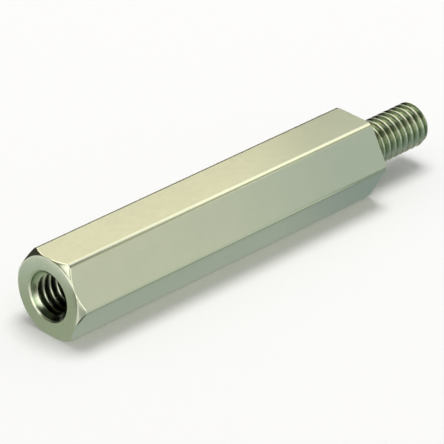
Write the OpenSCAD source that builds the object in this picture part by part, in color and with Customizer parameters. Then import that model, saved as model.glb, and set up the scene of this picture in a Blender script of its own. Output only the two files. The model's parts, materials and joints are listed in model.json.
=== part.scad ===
// Male-female hexagonal spacer with one metric thread size at both ends, lying on one of its flats.
// The axis runs along X: the tapped socket opens at X = 0, and the stud points to +X.
// It is turned in one piece from drawn hexagonal bar, and all sizes are in millimetres.

/* [Hexagonal body] */
// Width across the flats of the bar
body_af = 7; // [6:0.5:14]
// Length of the hexagonal body, from the socket face to the stud's shoulder
body_l = 35; // [16:1:80]
// Radius of the bar's long edges
edge_r = 0.45; // [0.05:0.05:0.6]
// Depth of the turned 45 degree chamfer on the corners at the socket end
socket_chamfer = 0.5; // [0.3:0.05:1]
// Depth of the turned 45 degree edge break on the corners at the shoulder
shoulder_chamfer = 0.1; // [0.05:0.05:0.5]

/* [Thread] */
// Nominal diameter of both threads
thread_d = 4; // [3:0.5:5]
// Pitch of both threads
thread_pitch = 0.7; // [0.5:0.05:1]

/* [Stud] */
// Length of the stud, from the shoulder to its tip
stud_l = 7.7; // [4:0.1:20]
// How much smaller than the nominal diameter the stud is over its crests
crest_allowance = 0.1; // [0.02:0.02:0.2]
// Length of the chamfer at the stud's tip, which comes down to the root of the thread
tip_chamfer_l = 0.45; // [0.2:0.05:1]

/* [Socket] */
// Depth of the tapping hole at its full diameter
socket_depth = 12; // [6:0.5:30]
// How much wider than the nominal diameter the mouth of the countersink is
mouth_margin = 0.5; // [0.1:0.1:0.8]
// Included angle of the countersink
mouth_angle = 120; // [60:5:130]
// Included angle of the drill point at the bottom of the hole
point_angle = 118; // [90:1:140]

/* [Hidden] */
$fn = 96;

// Length by which a turned cut runs past the bar, and by which the stud runs into it
overlap = 1;

// The bar's corners: where the round of each long edge is centred, starts and reaches out to
hexagon_sides = 6;
half_angle = 180 / hexagon_sides;
edge_centre = (body_af / 2 - edge_r) / cos(half_angle);
edge_chord = edge_centre + edge_r * cos(half_angle);
corner_r = edge_centre + edge_r;

// The thread: depth of an external metric thread, and the hole that is drilled for the tap
thread_depth = 17 / 24 * cos(30) * thread_pitch;
stud_r = (thread_d - crest_allowance) / 2;
tip_r = stud_r - thread_depth;
tap_r = (thread_d - thread_pitch) / 2;
mouth_r = (thread_d + mouth_margin) / 2;
mouth_depth = (mouth_r - tap_r) / tan(mouth_angle / 2);
point_depth = tap_r / tan(point_angle / 2);

// Section across the bar: the flats, and a round along each long edge
module bar_section() {
    intersection() {
        circle(d = body_af / cos(half_angle), $fn = hexagon_sides);
        rotate(half_angle)
            circle(r = edge_chord / cos(half_angle), $fn = hexagon_sides);
    }
    for (corner = [0:hexagon_sides - 1])
        rotate(2 * half_angle * corner)
            translate([edge_centre, 0])
                circle(r = edge_r);
}

// The space inside the turning tool's path, which chamfers the bar's corners at both ends
module turned_envelope() {
    clear_r = corner_r + overlap;
    rotate_extrude()
        polygon([
            [0, 0],
            [corner_r - socket_chamfer, 0],
            [clear_r, socket_chamfer + overlap],
            [clear_r, body_l - shoulder_chamfer - overlap],
            [corner_r - shoulder_chamfer, body_l],
            [0, body_l],
        ]);
}

// The hexagonal body with its turned ends
module body() {
    intersection() {
        rotate(half_angle)
            linear_extrude(body_l)
                bar_section();
        turned_envelope();
    }
}

// The stud over its thread crests, with a chamfered tip
module stud() {
    end_l = body_l + stud_l;
    rotate_extrude()
        polygon([
            [0, body_l - overlap],
            [stud_r, body_l - overlap],
            [stud_r, end_l - tip_chamfer_l],
            [tip_r, end_l],
            [0, end_l],
        ]);
}

// The tapping hole, with its countersink and drill point
module socket() {
    rotate_extrude()
        polygon([
            [0, -overlap],
            [mouth_r + overlap * tan(mouth_angle / 2), -overlap],
            [tap_r, mouth_depth],
            [tap_r, socket_depth],
            [0, socket_depth + point_depth],
        ]);
}

// The whole spacer, turned from standing on its socket to lying along X
module spacer() {
    color([0.70, 0.71, 0.57])
        rotate([0, 90, 0])
            difference() {
                union() {
                    body();
                    stud();
                }
                socket();
            }
}

spacer();
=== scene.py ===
import json
from math import cos, pi, radians, sin, tan, tau
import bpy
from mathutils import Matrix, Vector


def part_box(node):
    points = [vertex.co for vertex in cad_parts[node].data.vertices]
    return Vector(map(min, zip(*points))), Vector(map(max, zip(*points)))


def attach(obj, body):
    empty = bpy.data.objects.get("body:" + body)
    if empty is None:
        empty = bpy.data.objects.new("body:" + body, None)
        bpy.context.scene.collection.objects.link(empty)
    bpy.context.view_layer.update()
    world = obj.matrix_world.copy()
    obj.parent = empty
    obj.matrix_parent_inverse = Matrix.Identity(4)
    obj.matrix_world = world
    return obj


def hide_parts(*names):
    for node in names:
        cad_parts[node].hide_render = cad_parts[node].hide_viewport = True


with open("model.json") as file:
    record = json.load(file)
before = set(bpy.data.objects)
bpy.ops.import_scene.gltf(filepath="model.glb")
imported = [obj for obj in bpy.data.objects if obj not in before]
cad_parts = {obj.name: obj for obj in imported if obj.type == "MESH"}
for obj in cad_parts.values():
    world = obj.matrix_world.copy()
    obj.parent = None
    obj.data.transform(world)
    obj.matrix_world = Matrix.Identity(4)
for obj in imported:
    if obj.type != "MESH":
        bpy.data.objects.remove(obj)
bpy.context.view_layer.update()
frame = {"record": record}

from types import SimpleNamespace

import bmesh
import bpy
from bpy.props import FloatProperty, FloatVectorProperty, PointerProperty
from mathutils import Matrix, Vector

bl_info = {
    "name": "Hexagonal Spacer",
    "version": (1, 0, 0),
    "blender": (4, 5, 0),
    "location": "View3D > Sidebar > Spacer",
    "description": "Models a nickel-plated male-female hexagonal spacer and the studio it lies in",
    "category": "Object",
}

NODE = "spacer"
BODY = "root"
MM = 0.001

# The solid's own sizes, in metres
LOW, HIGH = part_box(NODE)
MOUNTS = {mount["name"]: mount for mount in frame["record"]["mounts"]}
SHOULDER_X = MOUNTS["stud_shoulder"]["pos_m"][0]
STUD = MOUNTS["stud"]["dims"]
SOCKET = MOUNTS["socket_thread"]["dims"]

# How finely round things are divided: steps to a turn, and segments across a rounded edge or corner
TURNING_STEPS = 192
THREAD_STEPS = 128
LONG_EDGE_SEGMENTS = 8
END_EDGE_SEGMENTS = 5
CORNER_SEGMENTS = 3

# Lengths that only the making needs, in millimetres: how close points are to be one, how far surfaces
# stay apart that mustn't coincide, how far tools run past the work, and how far the bar stands out
WELD = 0.001
HAIR = 0.01
CLEAR = 1.0
BAR_LEAD = 2.0

# The bar's section: its sides, and half the angle that each of them takes up
HEXAGON_SIDES = 6
HALF_SECTOR = pi / HEXAGON_SIDES

# The threads: half the angle between their flanks, the stud's depth of thread as a share of a sharp
# thread's height, the share of the pitch that is flat at the crests of stud and tap, how far their
# corners are rounded off in millimetres, and the turns by which a rod starts early and is made longer
HALF_FLANKS = radians(30)
THREAD_DEPTH = 17 / 24
STUD_CREST = 1 / 5
TAP_CREST = 1 / 8
THREAD_ROUND = 0.03
LEAD_TURNS = 2
SPARE_TURNS = 3

# Half the angles of the countersink and of the drill's point
HALF_COUNTERSINK = radians(60)
HALF_POINT = radians(59)

# Edges sharper than the first angle are rounded in the mesh, and edges sharper than the others are
# shaded as hard edges of the body or of a thread
ROUNDED_EDGE = radians(25)
HARD_EDGE = radians(28)
HARD_THREAD_EDGE = radians(10)

# Which faces get which finish and shading: a face is turned where its normal leans this far along the
# axis, and it is shaded flat where it is this large in square millimetres and this close to square
TURNED_LEAN = 0.3
LARGE_FACE = 5
SQUARE = 0.01
DRAWN, TURNED, THREADED = range(3)

# The plating: share of the broad clouds in its dullness, and how far grain and spots change its gloss
CLOUD_SHARE = 0.7
GRAIN_GLOSS = 0.12
SPOT_GLOSS = 0.08
NOISE_MIDDLE = 0.5

# Radius in millimetres of the rounding that is finer than the mesh
FINE_ROUND = 0.04

# Painted shade in the thread grooves: its strength on the stud and in the socket, and how it thins out
# towards the crests of the stud
STUD_GROOVE_SHADE = 0.8
SOCKET_GROOVE_SHADE = 0.95
GROOVE_SHADE_SPREAD = 0.6

# Painted shade low in the socket: its strength, the way along y and z towards which it darkens, and how far
# out that way it starts and is at its full strength, in millimetres
SOCKET_SHADE_STRENGTH = 0.9
SOCKET_SHADE_Y = -0.6
SOCKET_SHADE_Z = -0.8
SOCKET_SHADE_FROM = 0.2
SOCKET_SHADE_FULL = 1.0

# The studio: how far off its cards stand and how high they lie in millimetres, the sky's strength in
# diffuse light, and the key lamp's direction, and its distance in metres
CARD_DISTANCE = 600
CARD_LIFT = 0.05
SKY_LIGHT = 0.5
KEY_TOWARDS = (0.12, 0.1, 0.98)
KEY_DISTANCE = 0.6

# The dark wall round the studio, in metres
WALL_RADIUS = 0.9
WALL_HEIGHT = 0.12


class SpacerSizes(bpy.types.PropertyGroup):
    """Lengths of the spacer, taken from the solid where it has them"""

    across_flats: FloatProperty(
        name="Across Flats",
        description="Width of the hexagon across its flats",
        default=HIGH.z - LOW.z,
        unit="LENGTH",
    )
    body_length: FloatProperty(
        name="Body Length",
        description="Length of the hexagonal body from the socket face to the shoulder",
        default=SHOULDER_X,
        unit="LENGTH",
    )
    edge_radius: FloatProperty(
        name="Edge Radius",
        description="Radius of the long edges of the drawn bar",
        default=0.45 * MM,
        unit="LENGTH",
    )
    socket_chamfer: FloatProperty(
        name="Socket Chamfer",
        description="Depth of the turned chamfer on the corners at the socket end",
        default=0.5 * MM,
        unit="LENGTH",
    )
    shoulder_chamfer: FloatProperty(
        name="Shoulder Chamfer",
        description="Depth of the edge break on the corners at the shoulder",
        default=0.1 * MM,
        unit="LENGTH",
    )
    shoulder_break: FloatProperty(
        name="Shoulder Break",
        description="Width by which the edges at the shoulder are rounded",
        default=0.1 / 3 * MM,
        unit="LENGTH",
    )
    edge_break: FloatProperty(
        name="Edge Break",
        description="Width by which the edges of the socket chamfer are rounded",
        default=0.08 * MM,
        unit="LENGTH",
    )
    face_break: FloatProperty(
        name="Face Break",
        description="Width by which the rim of the socket face is rounded",
        default=0.15 * MM,
        unit="LENGTH",
    )
    mouth_break: FloatProperty(
        name="Mouth Break",
        description="Depth of the edge break round the mouth of the socket",
        default=0.13 * MM,
        unit="LENGTH",
    )
    pitch: FloatProperty(
        name="Pitch",
        description="Pitch of both right-hand threads",
        default=0.7 * MM,
        unit="LENGTH",
    )
    stud_radius: FloatProperty(
        name="Stud Radius",
        description="Radius of the stud over its thread crests",
        default=STUD["r_mm"] * MM,
        unit="LENGTH",
    )
    stud_length: FloatProperty(
        name="Stud Length",
        description="Length of the stud from the shoulder to its tip",
        default=HIGH.x - SHOULDER_X,
        unit="LENGTH",
    )
    tip_chamfer: FloatProperty(
        name="Tip Chamfer",
        description="Length of the chamfer at the tip of the stud",
        default=HIGH.x - SHOULDER_X - STUD["length_mm"] * MM,
        unit="LENGTH",
    )
    runout: FloatProperty(
        name="Thread Run-out",
        description="Length beside the shoulder over which the male thread fades out",
        default=1.5 * MM,
        unit="LENGTH",
    )
    tap_radius: FloatProperty(
        name="Tapping Radius",
        description="Radius of the hole that is drilled for the tap",
        default=SOCKET["r_mm"] * MM,
        unit="LENGTH",
    )
    female_radius: FloatProperty(
        name="Female Radius",
        description="Radius of the female thread at the bottom of its groove",
        default=2.08 * MM,
        unit="LENGTH",
    )
    mouth_radius: FloatProperty(
        name="Mouth Radius",
        description="Radius of the countersink where it meets the socket face",
        default=2.25 * MM,
        unit="LENGTH",
    )
    drilled_depth: FloatProperty(
        name="Drilled Depth",
        description="Depth of the drilled hole at its full diameter",
        default=12 * MM,
        unit="LENGTH",
    )
    tapped_depth: FloatProperty(
        name="Tapped Depth",
        description="Depth to which the female thread is cut",
        default=10 * MM,
        unit="LENGTH",
    )


class SpacerFinish(bpy.types.PropertyGroup):
    """Colours and gloss of the plating, and the colours of its painted shade"""

    nickel: FloatVectorProperty(
        name="Nickel",
        description="Colour of the bright plating",
        default=(0.70, 0.725, 0.56),
        size=3,
        subtype="COLOR",
        min=0,
        max=1,
    )
    tarnish: FloatVectorProperty(
        name="Tarnish",
        description="Colour of the plating where it has dulled",
        default=(0.61, 0.645, 0.50),
        size=3,
        subtype="COLOR",
        min=0,
        max=1,
    )
    # Painted shade: the colour that darkens the thread grooves towards their roots
    grime: FloatVectorProperty(
        name="Groove Shade",
        description="Colour of the plating deep in the threads",
        default=(0.23, 0.32, 0.19),
        size=3,
        subtype="COLOR",
        min=0,
        max=1,
    )
    # Painted shade: the colour that darkens the socket towards the bottom and the -y side
    soot: FloatVectorProperty(
        name="Socket Shade",
        description="Colour of the painted shade that has settled low in the socket",
        default=(0.03, 0.034, 0.025),
        size=3,
        subtype="COLOR",
        min=0,
        max=1,
    )
    flat_roughness: FloatProperty(
        name="Flat Roughness",
        description="Roughness of the drawn flats",
        default=0.16,
        subtype="FACTOR",
        min=0,
        max=1,
    )
    turned_roughness: FloatProperty(
        name="Turned Roughness",
        description="Roughness of the turned faces and chamfers",
        default=0.24,
        subtype="FACTOR",
        min=0,
        max=1,
    )
    thread_roughness: FloatProperty(
        name="Thread Roughness",
        description="Roughness of the cut threads",
        default=0.2,
        subtype="FACTOR",
        min=0,
        max=1,
    )


class SpacerStudio(bpy.types.PropertyGroup):
    """The camera's place and the floor"""

    azimuth: FloatProperty(
        name="Azimuth",
        description="Angle of the view from the spacer's axis, seen from above",
        default=radians(44.411),
        subtype="ANGLE",
    )
    elevation: FloatProperty(
        name="Elevation",
        description="Angle of the view above the floor",
        default=radians(29.482),
        subtype="ANGLE",
    )
    roll: FloatProperty(
        name="Roll",
        description="Turn of the camera about its line of sight",
        default=radians(-1.153),
        subtype="ANGLE",
    )
    distance: FloatProperty(
        name="Distance",
        description="Distance of the camera from the point it looks at",
        default=328.96 * MM,
        unit="LENGTH",
    )
    aim: FloatVectorProperty(
        name="Aim",
        description="Point that the camera looks at",
        default=(18.466 * MM, -0.984 * MM, 0.003 * MM),
        size=3,
        subtype="XYZ",
        unit="LENGTH",
    )
    lens: FloatProperty(
        name="Lens",
        description="Focal length of the camera in millimetres",
        default=327.2,
    )
    floor_colour: FloatVectorProperty(
        name="Floor",
        description="Colour of the plain pale floor",
        default=(0.98, 0.98, 0.98),
        size=3,
        subtype="COLOR",
        min=0,
        max=1,
    )


def in_millimetres(sizes):
    """The lengths of a property group in millimetres, by name."""
    return SimpleNamespace(**{name: getattr(sizes, name) / MM for name in sizes.__annotations__})


def new_object(name, mesh_data):
    """An object for a finished bmesh, which is freed."""
    bmesh.ops.recalc_face_normals(mesh_data, faces=mesh_data.faces)
    mesh = bpy.data.meshes.new(name)
    mesh_data.to_mesh(mesh)
    mesh_data.free()
    made = bpy.data.objects.new(name, mesh)
    bpy.context.scene.collection.objects.link(made)
    return made


def new_points(grown):
    """The vertices among what an operator has added."""
    return [item for item in grown["geom"] if isinstance(item, bmesh.types.BMVert)]


def profile_wire(outline, softened=(), softening=0.0):
    """A bmesh with one open wire of (x, radius) points above the axis, some of its corners softened."""
    wire = bmesh.new()
    points = [wire.verts.new((x, 0, radius)) for x, radius in outline]
    for pair in zip(points, points[1:]):
        wire.edges.new(pair)
    if softened:
        corners = [points[index] for index in softened]
        bmesh.ops.bevel(
            wire, geom=corners, offset=softening, segments=CORNER_SEGMENTS, profile=0.5,
            affect="VERTICES", material=-1,
        )
    return wire


def turned_solid(name, outline, softened=(), softening=0.0):
    """A solid of revolution about X, from (x, radius) points that start and end on the axis."""
    solid = profile_wire(outline, softened, softening)
    bmesh.ops.spin(
        solid, geom=solid.verts[:] + solid.edges[:], cent=(0, 0, 0), axis=(1, 0, 0),
        angle=tau, steps=TURNING_STEPS, use_merge=True,
    )
    bmesh.ops.remove_doubles(solid, verts=solid.verts, dist=WELD)
    return new_object(name, solid)


def threaded_rod(name, start, turns, pitch, crest, root, crest_flat):
    """A rod with a right-hand thread, one turn longer than it says, from x = start."""
    crest_half = crest_flat / 2
    root_half = pitch / 2 - crest_half - (crest - root) * tan(HALF_FLANKS)
    outline = [
        (0, root),
        (root_half, root),
        (pitch / 2 - crest_half, crest),
        (pitch / 2 + crest_half, crest),
        (pitch - root_half, root),
        (pitch, root),
    ]
    rod = profile_wire(outline, softened=(1, 2, 3, 4), softening=THREAD_ROUND)
    half_step = Matrix.Rotation(pi / THREAD_STEPS, 3, "X")
    bmesh.ops.rotate(rod, verts=rod.verts, cent=(0, 0, 0), matrix=half_step)
    bmesh.ops.spin(
        rod, geom=rod.verts[:] + rod.edges[:], cent=(0, 0, 0), axis=(1, 0, 0),
        dvec=(pitch / THREAD_STEPS, 0, 0), angle=tau, steps=THREAD_STEPS, use_merge=False,
    )
    first_turn = rod.verts[:] + rod.edges[:] + rod.faces[:]
    for turn in range(1, turns):
        copied = bmesh.ops.duplicate(rod, geom=first_turn)
        bmesh.ops.translate(rod, verts=new_points(copied), vec=(turn * pitch, 0, 0))
    bmesh.ops.remove_doubles(rod, verts=rod.verts, dist=WELD)
    middle = pitch * (turns + 1) / 2
    rims = [edge for edge in rod.edges if edge.is_boundary]
    for near_end in (True, False):
        rim = [edge for edge in rims if (edge.verts[0].co.x < middle) == near_end]
        centre_x = pitch / 2 if near_end else pitch * (turns + 0.5)
        skirt = bmesh.ops.extrude_edge_only(rod, edges=rim)
        bmesh.ops.pointmerge(rod, verts=new_points(skirt), merge_co=(centre_x, 0, 0))
    bmesh.ops.translate(rod, verts=rod.verts, vec=(start, 0, 0))
    return new_object(name, rod)


def machine(work, tool, operation):
    """Cuts, joins or trims the work with a tool, which is used up."""
    step = work.modifiers.new(operation.title(), "BOOLEAN")
    step.operation = operation
    step.solver = "MANIFOLD"
    step.object = tool
    result = bpy.data.meshes.new_from_object(work.evaluated_get(bpy.context.evaluated_depsgraph_get()))
    work.modifiers.clear()
    spent = [work.data, tool.data]
    work.data = result
    bpy.data.objects.remove(tool)
    for mesh in spent:
        bpy.data.meshes.remove(mesh)


def drawn_bar(size):
    """Hexagonal bar along X with flats above and below and rounded long edges."""
    bar = bmesh.new()
    across_corners = size.across_flats / cos(HALF_SECTOR)
    upright = Matrix.Rotation(radians(90), 4, "Y")
    bmesh.ops.create_circle(
        bar, cap_ends=True, segments=HEXAGON_SIDES, radius=across_corners / 2, matrix=upright
    )
    grown = bmesh.ops.extrude_face_region(bar, geom=bar.faces[:])
    bmesh.ops.translate(bar, verts=new_points(grown), vec=(size.body_length + BAR_LEAD, 0, 0))
    bmesh.ops.translate(bar, verts=bar.verts, vec=(-BAR_LEAD, 0, 0))
    long_edges = [edge for edge in bar.edges if edge.calc_length() > size.across_flats]
    bmesh.ops.bevel(
        bar, geom=long_edges, offset=size.edge_radius * tan(HALF_SECTOR), segments=LONG_EDGE_SEGMENTS,
        profile=0.5, affect="EDGES", material=-1,
    )
    return new_object("bar", bar)


def soften_edges(work, width, low, high):
    """Rounds the sharp edges of the work that lie between two places along it."""
    body = bmesh.new()
    body.from_mesh(work.data)
    bmesh.ops.remove_doubles(body, verts=body.verts, dist=WELD)
    sharp = [
        edge for edge in body.edges
        if edge.calc_face_angle(0) > ROUNDED_EDGE and all(low < vert.co.x < high for vert in edge.verts)
    ]
    bmesh.ops.bevel(
        body, geom=sharp, offset=width, segments=END_EDGE_SEGMENTS, profile=0.5, affect="EDGES",
        material=-1, clamp_overlap=True,
    )
    body.to_mesh(work.data)
    body.free()


def corner_radius(size):
    """Radius of the hexagon over its rounded corners."""
    return (size.across_flats / 2 - size.edge_radius) / cos(HALF_SECTOR) + size.edge_radius


def turned_body(size):
    """The bar cut to length, with both its ends turned and their edges rounded."""
    work = drawn_bar(size)
    corner = corner_radius(size)
    rim = corner - size.socket_chamfer
    chamfers = turned_solid("chamfers", [
        (-CLEAR, 0),
        (-CLEAR, rim - CLEAR),
        (size.socket_chamfer + CLEAR, corner + CLEAR),
        (size.body_length - size.shoulder_chamfer - CLEAR, corner + CLEAR),
        (size.body_length, corner - size.shoulder_chamfer),
        (size.body_length, 0),
    ])
    machine(work, chamfers, "INTERSECT")
    soften_edges(work, size.edge_break, -CLEAR / 2, CLEAR * 2)
    soften_edges(work, size.shoulder_break, size.body_length - CLEAR, size.body_length + CLEAR)
    # The cone beyond the face's rounded rim stays just outside the chamfer
    outer = rim + HAIR / 2
    facing = turned_solid("facing", [
        (0, 0),
        (0, outer),
        (CLEAR, outer + CLEAR),
        (size.body_length + CLEAR, corner + CLEAR),
        (size.body_length + CLEAR, 0),
    ], softened=(1,), softening=size.face_break)
    machine(work, facing, "INTERSECT")
    return work


def stud_root(size):
    """Radius of the male thread at the bottom of its groove."""
    return size.stud_radius - THREAD_DEPTH * cos(HALF_FLANKS) * size.pitch


def threaded_stud(size):
    """The stud, rooted in the body, with its chamfered tip and its thread run out at the shoulder."""
    root = stud_root(size)
    shoulder = size.body_length
    end = shoulder + size.stud_length
    start = shoulder - LEAD_TURNS * size.pitch
    turns = int(size.stud_length / size.pitch) + SPARE_TURNS
    stud = threaded_rod("stud", start, turns, size.pitch, size.stud_radius, root, size.pitch * STUD_CREST)
    slope = (size.stud_radius - root) / size.tip_chamfer
    rooted = 0.5
    clear = 0.1
    tip = turned_solid("tip", [
        (shoulder - rooted, 0),
        (shoulder - rooted, size.stud_radius + clear),
        (end - size.tip_chamfer - clear / slope, size.stud_radius + clear),
        (end, root),
        (end, 0),
    ])
    machine(stud, tip, "INTERSECT")
    collar_length = 0.2
    runout = turned_solid("runout", [
        (shoulder - rooted + clear, 0),
        (shoulder - rooted + clear, size.stud_radius - HAIR),
        (shoulder + collar_length, size.stud_radius - HAIR),
        (shoulder + size.runout, root - 2 * HAIR),
        (shoulder + size.runout, 0),
    ])
    machine(stud, runout, "UNION")
    return stud


def countersink_depth(size, radius):
    """Depth at which the countersink of the socket has come down to a radius."""
    return size.mouth_break + (size.mouth_radius - size.mouth_break - radius) / tan(HALF_COUNTERSINK)


def socket_end(size):
    """Depth of the socket with the drill's point."""
    return size.drilled_depth + size.tap_radius / tan(HALF_POINT)


def tapped_socket(size):
    """The space of the socket: drilled, countersunk and tapped."""
    start = -LEAD_TURNS * size.pitch
    turns = int(size.tapped_depth / size.pitch) + SPARE_TURNS
    core = size.tap_radius - 5 * HAIR
    tap = threaded_rod("tap", start, turns, size.pitch, size.female_radius, core, size.pitch * TAP_CREST)
    outside = 0.5
    clear = 0.1
    taper = 1.2
    reach = turned_solid("reach", [
        (-outside, 0),
        (-outside, size.female_radius + clear),
        (size.tapped_depth - taper, size.female_radius + clear),
        (size.tapped_depth, core),
        (size.tapped_depth, 0),
    ])
    machine(tap, reach, "INTERSECT")
    run_in = outside + clear
    drill = turned_solid("drill", [
        (-run_in, 0),
        (-run_in, size.mouth_radius + run_in),
        (size.mouth_break, size.mouth_radius - size.mouth_break),
        (countersink_depth(size, size.tap_radius), size.tap_radius),
        (size.drilled_depth, size.tap_radius),
        (socket_end(size), 0),
    ])
    machine(tap, drill, "UNION")
    return tap


class Signal:
    """A shader value that Python's operators turn into Math nodes."""

    def __init__(self, shader, socket):
        self.shader = shader
        self.socket = socket

    def _math(self, operation, first, second):
        made = self.shader.node("ShaderNodeMath", {"operation": operation}, {0: first, 1: second})
        return Signal(self.shader, made.outputs[0])

    def __add__(self, other):
        return self._math("ADD", self, other)

    __radd__ = __add__

    def __sub__(self, other):
        return self._math("SUBTRACT", self, other)

    def __rsub__(self, other):
        return self._math("SUBTRACT", other, self)

    def __mul__(self, other):
        return self._math("MULTIPLY", self, other)

    __rmul__ = __mul__

    def __pow__(self, other):
        return self._math("POWER", self, other)

    def __rpow__(self, other):
        return self._math("POWER", other, self)


class Shader:
    """The node tree of a material or a world, cleared for new nodes."""

    def __init__(self, owner):
        owner.use_nodes = True
        self.tree = owner.node_tree
        self.tree.nodes.clear()

    def node(self, kind, settings=None, sockets=None):
        """Adds a node: its settings are set first, and then the values or links of its sockets."""
        made = self.tree.nodes.new(kind)
        for name, value in (settings or {}).items():
            setattr(made, name, value)
        for key, value in (sockets or {}).items():
            self.feed(made.inputs[key], value)
        return made

    def feed(self, socket, value):
        """Links a signal or an output to a socket, or sets its value."""
        if isinstance(value, Signal):
            value = value.socket
        if isinstance(value, bpy.types.NodeSocket):
            self.tree.links.new(value, socket)
        else:
            socket.default_value = value

    def signal(self, kind, settings=None, sockets=None, output=0):
        """One output of a new node, ready for maths."""
        return Signal(self, self.node(kind, settings, sockets).outputs[output])

    def place(self):
        """The piece's own x, y and z in millimetres, and their vector."""
        coordinates = self.node("ShaderNodeTexCoord").outputs["Object"]
        scaled = self.node(
            "ShaderNodeVectorMath", {"operation": "SCALE"}, {0: coordinates, "Scale": 1 / MM}
        ).outputs[0]
        axes = self.node("ShaderNodeSeparateXYZ", None, {0: scaled})
        return [Signal(self, output) for output in axes.outputs], scaled

    def noise(self, vector, scale, detail):
        """Soft noise from 0 to 1 over a vector."""
        return self.signal(
            "ShaderNodeTexNoise", {"noise_dimensions": "3D"},
            {"Vector": vector, "Scale": scale, "Detail": detail},
        )

    def streaks(self, distance, scale):
        """Soft noise from 0 to 1 that changes with one distance only."""
        return self.signal(
            "ShaderNodeTexNoise", {"noise_dimensions": "1D"}, {"W": distance, "Scale": scale, "Detail": 2.0}
        )

    def rise(self, value, start, end, interpolation="LINEAR"):
        """A share that goes from 0 to 1 while a value goes from its start to its end."""
        return self.signal(
            "ShaderNodeMapRange", {"interpolation_type": interpolation},
            {"Value": value, "From Min": start, "From Max": end},
        )

    def blend(self, factor, first, second):
        """A colour between two others."""
        mix = self.node("ShaderNodeMix", {"data_type": "RGBA"}, {"Factor": factor, 6: first, 7: second})
        return mix.outputs[2]


def plated_metal(name, finish, roughness, marks):
    """Bright nickel with the marks of how its surface was made."""
    material = bpy.data.materials.new(name)
    shader = Shader(material)
    axes, place = shader.place()
    made = marks(shader, *axes)
    cloud = shader.noise(place, scale=0.22, detail=3.0)
    spots = shader.noise(place, scale=2.2, detail=4.0)
    dulled = cloud * CLOUD_SHARE + spots * (1 - CLOUD_SHARE)
    colour = shader.blend(dulled, (*finish.nickel, 1), (*finish.tarnish, 1))
    # Painted shade from the marks, in the thread grooves and low in the socket, is laid over the colour
    for share, shade_colour in made.stains:
        colour = shader.blend(share, colour, (*shade_colour, 1))
    uneven = (made.grain - NOISE_MIDDLE) * GRAIN_GLOSS + (spots - NOISE_MIDDLE) * SPOT_GLOSS
    rounded = shader.node("ShaderNodeBevel", {"samples": 8}, {"Radius": FINE_ROUND * MM}).outputs[0]
    bump = shader.node("ShaderNodeBump", None, {
        "Strength": 0.25, "Distance": 0.004 * MM, "Height": made.relief, "Normal": rounded,
    }).outputs[0]
    metal = shader.node("ShaderNodeBsdfPrincipled", None, {
        "Base Color": colour,
        "Metallic": 1.0,
        "Roughness": uneven + roughness,
        "Normal": bump,
    })
    shader.node("ShaderNodeOutputMaterial", None, {"Surface": metal.outputs[0]})
    return material


def drawn_marks(shader, x, y, z):
    """Fine lines along the bar, left by the drawing die."""
    stretch = 0.05
    fine_share = 0.6
    stretched = shader.node("ShaderNodeCombineXYZ", None, {0: x * stretch, 1: y, 2: z}).outputs[0]
    fine = shader.noise(stretched, scale=14.0, detail=3.0)
    broad = shader.noise(stretched, scale=3.0, detail=2.0)
    return SimpleNamespace(relief=fine * fine_share + broad * (1 - fine_share), grain=fine, stains=())


def axis_distance(y, z):
    """Distance of a place on the piece from its axis."""
    return (y * y + z * z) ** 0.5


def turned_marks(shader, x, y, z):
    """Rings round the axis, left by the lathe tool."""
    rings = shader.streaks(axis_distance(y, z), scale=16.0)
    return SimpleNamespace(relief=rings, grain=rings, stains=())


def thread_marks(size, finish):
    """The marks of die and tap on threads of these sizes, and painted shade in their grooves and low in the
    socket.
    """

    def marks(shader, x, y, z):
        """Fine lines round the axis, painted shade in the grooves, and painted shade that darkens the
        socket towards the bottom and the -y side.
        """
        radius = axis_distance(y, z)
        lines = shader.streaks(radius + x, scale=24.0)
        on_stud = shader.signal(
            "ShaderNodeMath", {"operation": "GREATER_THAN"}, {0: x, 1: size.body_length - CLEAR}
        )
        in_socket = 1 - on_stud
        # Painted shade in the thread grooves: darkest at the roots, none at the crests
        stud_groove = shader.rise(radius, size.stud_radius, stud_root(size)) ** GROOVE_SHADE_SPREAD
        socket_groove = shader.rise(radius, size.tap_radius, size.female_radius)
        grime = stud_groove * on_stud * STUD_GROOVE_SHADE + socket_groove * in_socket * SOCKET_GROOVE_SHADE
        # Painted shade that darkens the socket towards the bottom and the -y side
        towards_shade = z * SOCKET_SHADE_Z + y * SOCKET_SHADE_Y
        darkened = shader.rise(towards_shade, SOCKET_SHADE_FROM, SOCKET_SHADE_FULL) * in_socket * SOCKET_SHADE_STRENGTH
        return SimpleNamespace(
            relief=lines, grain=lines, stains=((grime, finish.grime), (darkened, finish.soot))
        )

    return marks


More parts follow.
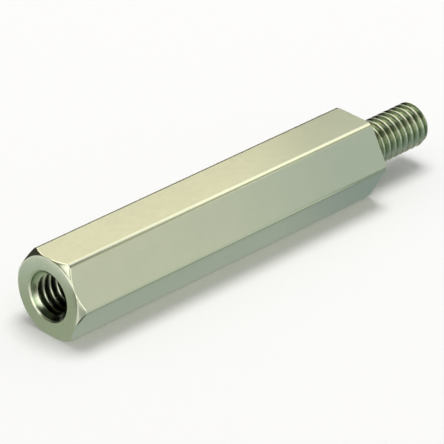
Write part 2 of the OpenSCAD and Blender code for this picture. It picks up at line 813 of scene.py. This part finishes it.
class SPACER_OT_spacer(bpy.types.Operator):
    """Model the spacer: bar, turned ends, threaded stud and tapped socket"""

    bl_idname = "spacer.build"
    bl_label = "Spacer"

    def execute(self, context):
        size = in_millimetres(context.scene.spacer_sizes)
        finish = context.scene.spacer_finish
        piece = turned_body(size)
        machine(piece, threaded_stud(size), "UNION")
        machine(piece, tapped_socket(size), "DIFFERENCE")
        piece.name = "nickel_spacer"
        # In the order of DRAWN, TURNED and THREADED
        materials = [
            plated_metal("drawn_nickel", finish, finish.flat_roughness, drawn_marks),
            plated_metal("turned_nickel", finish, finish.turned_roughness, turned_marks),
            plated_metal("threaded_nickel", finish, finish.thread_roughness, thread_marks(size, finish)),
        ]
        piece.data.materials.clear()
        for material in materials:
            piece.data.materials.append(material)
        self.finish_mesh(piece, size)
        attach(piece, BODY)
        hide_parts(NODE)
        return {"FINISHED"}

    def finish_mesh(self, piece, size):
        """Gives each face its finish and its shading, and brings the mesh to metres."""
        body = bmesh.new()
        body.from_mesh(piece.data)
        bmesh.ops.remove_doubles(body, verts=body.verts, dist=WELD / 10)
        bmesh.ops.recalc_face_normals(body, faces=body.faces)
        mouth = size.mouth_radius - size.mouth_break
        for face in body.faces:
            centre = face.calc_center_median()
            radius = centre.yz.length
            lean = abs(face.normal.x)
            in_socket = radius < mouth and HAIR < centre.x < socket_end(size)
            on_stud = radius < size.stud_radius + HAIR and centre.x > size.body_length - HAIR
            if in_socket or on_stud:
                face.material_index = THREADED
            elif lean > TURNED_LEAN:
                face.material_index = TURNED
            else:
                face.material_index = DRAWN
            square = lean < SQUARE or lean > 1 - SQUARE
            face.smooth = not (square and face.calc_area() > LARGE_FACE)
        for edge in body.edges:
            threaded = all(face.material_index == THREADED for face in edge.link_faces)
            hard = HARD_THREAD_EDGE if threaded else HARD_EDGE
            edge.smooth = edge.is_manifold and edge.calc_face_angle() < hard
        open_edges = sum(not edge.is_manifold for edge in body.edges)
        if open_edges:
            raise RuntimeError(f"the spacer's mesh has {open_edges} open edges")
        bmesh.ops.scale(body, verts=body.verts, vec=(MM, MM, MM))
        body.to_mesh(piece.data)
        body.free()


def sight_axes(studio):
    """The camera's right, up and back directions."""
    back = Vector((
        -cos(studio.elevation) * cos(studio.azimuth),
        -cos(studio.elevation) * sin(studio.azimuth),
        sin(studio.elevation),
    ))
    level = (-back).cross(Vector((0, 0, 1))).normalized()
    rise = level.cross(-back)
    turn = Matrix.Rotation(studio.roll, 3, -back)
    return turn @ level, turn @ rise, back


def facing_matrix(towards, distance, facing_x=SHOULDER_X / 2):
    """Place of a card that lies in a direction from a point on the axis, with its face to that point."""
    right = towards.cross(Vector((0, 0, 1))).normalized()
    turn = Matrix((right, right.cross(towards), -towards)).transposed().to_4x4()
    return Matrix.Translation(Vector((facing_x, 0, 0)) + towards * distance) @ turn


def standing(name, azimuth, elevation, width, height, glow, faded=None, distance=CARD_DISTANCE, **shape):
    """A card that faces the spacer from a direction; angles in degrees, lengths in millimetres.

    Its width and height are the angles that it takes up from the spacer.
    Where a faded glow is given too, the card goes over to it between two places across its face.
    The slopes of its upper and lower edge and the point on the axis that it faces may be given.
    """
    azimuth = radians(azimuth)
    elevation = radians(elevation)
    towards = Vector((cos(elevation) * cos(azimuth), cos(elevation) * sin(azimuth), sin(elevation)))
    half_width = distance * tan(radians(width / 2))
    half_height = distance * tan(radians(height / 2))
    upper_slope = shape.get("upper_slope", 0) * half_width
    lower_slope = shape.get("lower_slope", 0) * half_width
    corners = [
        (-half_width, -half_height - lower_slope),
        (half_width, -half_height + lower_slope),
        (half_width, half_height + upper_slope),
        (-half_width, half_height - upper_slope),
    ]
    place = facing_matrix(towards, distance * MM, shape.get("facing_x", SHOULDER_X / 2))
    return SimpleNamespace(name=name, place=place, corners=corners, glow=glow, faded=faded)


def lying(name, corners, glow, faded=None, lift=CARD_LIFT):
    """A card that lies just above the floor, with its corners and its lift in millimetres."""
    place = Matrix.Translation((0, 0, LOW.z + lift * MM))
    return SimpleNamespace(name=name, place=place, corners=corners, glow=glow, faded=faded)


# What the metal mirrors: a faded glow has its colour and the two places between which it is reached
CARDS = (
    standing(
        "back_card", 44.4, 33.0, 57, 12.4, (1.16, 1.08, 0.905), ((0.74, 0.745, 0.67), (2.2, 0), (14, 0)),
        distance=120, upper_slope=-0.8, lower_slope=-0.46,
    ),
    standing(
        "front_card", -49.6, 10.6, 67, 23.8, (0.54, 0.60, 0.60), ((0.74, 0.75, 0.70), (-11, 0), (7, 0)),
        distance=120, upper_slope=0.33,
    ),
    standing("back_flag", 47, 12, 80, 28, (0.04, 0.04, 0.035)),
    standing("top_softbox", 15, 47, 48, 18, (1.5, 1.45, 1.3)),
    standing("far_softbox", 81, 54, 24, 38, (2.3, 2.2, 1.85)),
    standing("front_flag", -42, 36, 28, 29, (0.52, 0.52, 0.41)),
    standing("high_flag", -62, 53, 40, 42, (0.05, 0.055, 0.035), distance=620),
    standing("front_strip", -46.5, 25.5, 12, 3.5, (1.6, 1.6, 1.5), distance=500),
    standing("left_softbox", 183, 44, 26, 26, (1.8, 1.8, 1.75)),
    standing("side_softbox", 207, 18, 30, 36, (1.6, 1.6, 1.5)),
    standing("low_softbox", 182, 8, 22, 18, (2.0, 2.0, 1.95), distance=60, facing_x=0),
    standing("end_flag", 178, 16, 30, 37, (0.09, 0.11, 0.07)),
    standing("stud_flag", -2, 17, 50, 40, (0.05, 0.055, 0.035)),
    standing("right_softbox", 266, 23, 24, 44, (2.4, 2.4, 2.2)),
    standing("camera_flag", 237, 24, 27, 52, (0.02, 0.02, 0.015)),
    standing("edge_flag", 220, 40, 20, 16, (0.02, 0.02, 0.015)),
    standing("corner_flag", 105, 17, 50, 36, (0.03, 0.03, 0.025)),
    standing("olive_flag", 149, 43, 38, 30, (0.1, 0.105, 0.06), distance=590),
    standing("rim_strip", 165, 3, 18, 8, (1.9, 1.9, 1.8), distance=580),
    standing("low_olive_flag", 150, 12, 38, 30, (0.22, 0.27, 0.16)),
    # The cards that lie on the floor are painted shade of the floor: seen only in reflections, they make it
    # darker there than the white floor that the camera sees
    lying(
        "face_card", [(0.8, -5.5), (-10.5, 5.2), (-12, 13), (0.8, 13)],
        (0.40, 0.455, 0.37), ((0.55, 0.61, 0.59), (-3, 3.4), (-8.6, 9.75)),
    ),
    lying(
        "socket_flag", [(-4.6, -0.6), (-16, -3.4), (-20, -4), (-20, 3), (-9, 4)],
        (0.12, 0.13, 0.09), lift=0.04,
    ),
    lying(
        "corner_floor_flag", [(0, 13), (12, 13), (60, 300), (-260, 300), (-30, 40)],
        (0.03, 0.03, 0.025),
    ),
    lying("corner_card", [(-10, -13), (-1, -13), (-1, -5.5), (-10, -5.5)], (0.46, 0.49, 0.46)),
    lying(
        "contact_flag", [(-1.6, -6.3), (1.6, -6.3), (1.6, -3.9), (-1.6, -3.9)],
        (0.04, 0.045, 0.04), lift=0.08,
    ),
    lying(
        "under_card", [(-1, -3.45), (44, -3.45), (44, -1.9), (-1, -1.9)],
        (0.44, 0.49, 0.46), ((0.31, 0.37, 0.37), (22, 0), (36, 0)), lift=0.03,
    ),
    lying(
        "edge_card", [(-1, -7.1), (44, -7.1), (44, -3.45), (-1, -3.45)],
        (0.36, 0.41, 0.37), ((0.29, 0.35, 0.34), (22, 0), (36, 0)), lift=0.03,
    ),
    lying(
        "front_floor_card", [(-1, -6.8), (20, -112), (130, -112), (44, -6.8)],
        (0.66, 0.71, 0.65), lift=0.02,
    ),
    lying(
        "stud_card", [(36, -40), (90, -40), (90, 4), (44, 4), (44, -7.2), (36, -7.2)],
        (0.36, 0.42, 0.40), ((0.29, 0.38, 0.31), (38, 0), (46, 0)),
    ),
)


class SPACER_OT_studio(bpy.types.Operator):
    """Lay out the floor, the soft lights and the camera"""

    bl_idname = "spacer.studio"
    bl_label = "Studio"

    def execute(self, context):
        studio = context.scene.spacer_studio
        self.add_camera(context, studio)
        self.add_floor(studio)
        self.add_world(context)
        self.add_key(context)
        self.add_cards()
        self.add_surround()
        context.scene.view_settings.view_transform = "Standard"
        return {"FINISHED"}

    def add_camera(self, context, studio):
        """The camera at the place and angle of the view."""
        right, up, back = sight_axes(studio)
        camera = bpy.data.cameras.new("camera")
        camera.lens = studio.lens
        camera.sensor_width = 36
        camera.clip_start = 0.01
        camera.clip_end = 20
        made = bpy.data.objects.new("camera", camera)
        context.scene.collection.objects.link(made)
        turn = Matrix((right, up, back)).transposed().to_4x4()
        made.matrix_world = Matrix.Translation(Vector(studio.aim) + back * studio.distance) @ turn
        context.scene.camera = made

    def add_floor(self, studio):
        """A plain floor under the flat that the spacer lies on."""
        sheet = bmesh.new()
        bmesh.ops.create_grid(sheet, x_segments=1, y_segments=1, size=3.0)
        bmesh.ops.translate(sheet, verts=sheet.verts, vec=(0, 0, LOW.z))
        floor = new_object("floor", sheet)
        material = bpy.data.materials.new("floor")
        shader = Shader(material)
        paint = shader.node("ShaderNodeBsdfDiffuse", None, {"Color": (*studio.floor_colour, 1)})
        shader.node("ShaderNodeOutputMaterial", None, {"Surface": paint.outputs[0]})
        floor.data.materials.append(material)

    def add_world(self, context):
        """A sky that is seen and mirrored as white, and gives less diffuse light."""
        world = bpy.data.worlds.new("studio")
        context.scene.world = world
        shader = Shader(world)
        path = shader.node("ShaderNodeLightPath").outputs
        seen = Signal(shader, path["Is Camera Ray"]) + path["Is Glossy Ray"] + path["Is Transmission Ray"]
        strength = SKY_LIGHT + seen * (1 - SKY_LIGHT)
        sky = shader.node("ShaderNodeBackground", None, {"Color": (1, 1, 1, 1), "Strength": strength})
        shader.node("ShaderNodeOutputWorld", None, {"Surface": sky.outputs[0]})

    def add_key(self, context):
        """A soft lamp overhead, which the metal doesn't mirror."""
        lamp = bpy.data.lights.new("key", "AREA")
        lamp.shape = "DISK"
        lamp.size = 0.35
        lamp.energy = 1.95
        lamp.color = (1.0, 0.99, 0.975)
        made = bpy.data.objects.new("key", lamp)
        context.scene.collection.objects.link(made)
        towards = Vector(KEY_TOWARDS).normalized()
        made.matrix_world = facing_matrix(towards, KEY_DISTANCE) @ Matrix.Rotation(pi, 4, "Y")
        made.visible_glossy = False

    def add_cards(self):
        """The cards round the spacer and on the floor."""
        for card in CARDS:
            sheet = bmesh.new()
            sheet.faces.new([sheet.verts.new((x * MM, y * MM, 0)) for x, y in card.corners])
            made = new_object(card.name, sheet)
            made.matrix_world = card.place
            self.light_up(made, card.glow, card.faded)

    def add_surround(self):
        """A low dark wall round the studio, which gives the metal its dark horizon."""
        wall = bmesh.new()
        bmesh.ops.create_circle(wall, cap_ends=False, segments=96, radius=WALL_RADIUS)
        grown = bmesh.ops.extrude_edge_only(wall, edges=wall.edges[:])
        bmesh.ops.translate(wall, verts=new_points(grown), vec=(0, 0, WALL_HEIGHT))
        bmesh.ops.translate(wall, verts=wall.verts, vec=(SHOULDER_X / 2, 0, LOW.z))
        self.light_up(new_object("surround", wall), (0.05, 0.05, 0.045))

    def light_up(self, card, glow, faded=None):
        """Makes a card glow, in glossy reflections only."""
        material = bpy.data.materials.new(card.name)
        shader = Shader(material)
        colour = (*glow, 1)
        if faded:
            far_glow, start, end = faded
            start = Vector((*start, 0)) * MM
            across = Vector((*end, 0)) * MM - start
            place = shader.node("ShaderNodeTexCoord").outputs["Object"]
            offset = shader.node("ShaderNodeVectorMath", {"operation": "SUBTRACT"}, {0: place, 1: start})
            share = shader.signal(
                "ShaderNodeVectorMath", {"operation": "DOT_PRODUCT"},
                {0: offset.outputs[0], 1: across / across.length_squared}, "Value",
            )
            colour = shader.blend(shader.rise(share, 0, 1, "SMOOTHSTEP"), colour, (*far_glow, 1))
        light = shader.node("ShaderNodeEmission", None, {"Color": colour, "Strength": 1.0})
        shader.node("ShaderNodeOutputMaterial", None, {"Surface": light.outputs[0]})
        card.data.materials.append(material)
        card.visible_camera = False
        card.visible_diffuse = False
        card.visible_shadow = False
        card.visible_transmission = False


class SPACER_PT_sidebar(bpy.types.Panel):
    """The spacer's tools in the sidebar"""

    bl_idname = "SPACER_PT_sidebar"
    bl_label = "Spacer"
    bl_space_type = "VIEW_3D"
    bl_region_type = "UI"
    bl_category = "Spacer"

    def draw(self, context):
        for group in (context.scene.spacer_sizes, context.scene.spacer_finish, context.scene.spacer_studio):
            column = self.layout.column()
            for name in group.__annotations__:
                column.prop(group, name)
        self.layout.operator(SPACER_OT_spacer.bl_idname)
        self.layout.operator(SPACER_OT_studio.bl_idname)


CLASSES = (
    SpacerSizes,
    SpacerFinish,
    SpacerStudio,
    SPACER_OT_spacer,
    SPACER_OT_studio,
    SPACER_PT_sidebar,
)


def register():
    for item in CLASSES:
        bpy.utils.register_class(item)
    bpy.types.Scene.spacer_sizes = PointerProperty(type=SpacerSizes)
    bpy.types.Scene.spacer_finish = PointerProperty(type=SpacerFinish)
    bpy.types.Scene.spacer_studio = PointerProperty(type=SpacerStudio)


def unregister():
    del bpy.types.Scene.spacer_studio
    del bpy.types.Scene.spacer_finish
    del bpy.types.Scene.spacer_sizes
    for item in reversed(CLASSES):
        bpy.utils.unregister_class(item)


def main():
    register()
    bpy.ops.spacer.build()
    bpy.ops.spacer.studio()


if __name__ == "__main__":
    main()
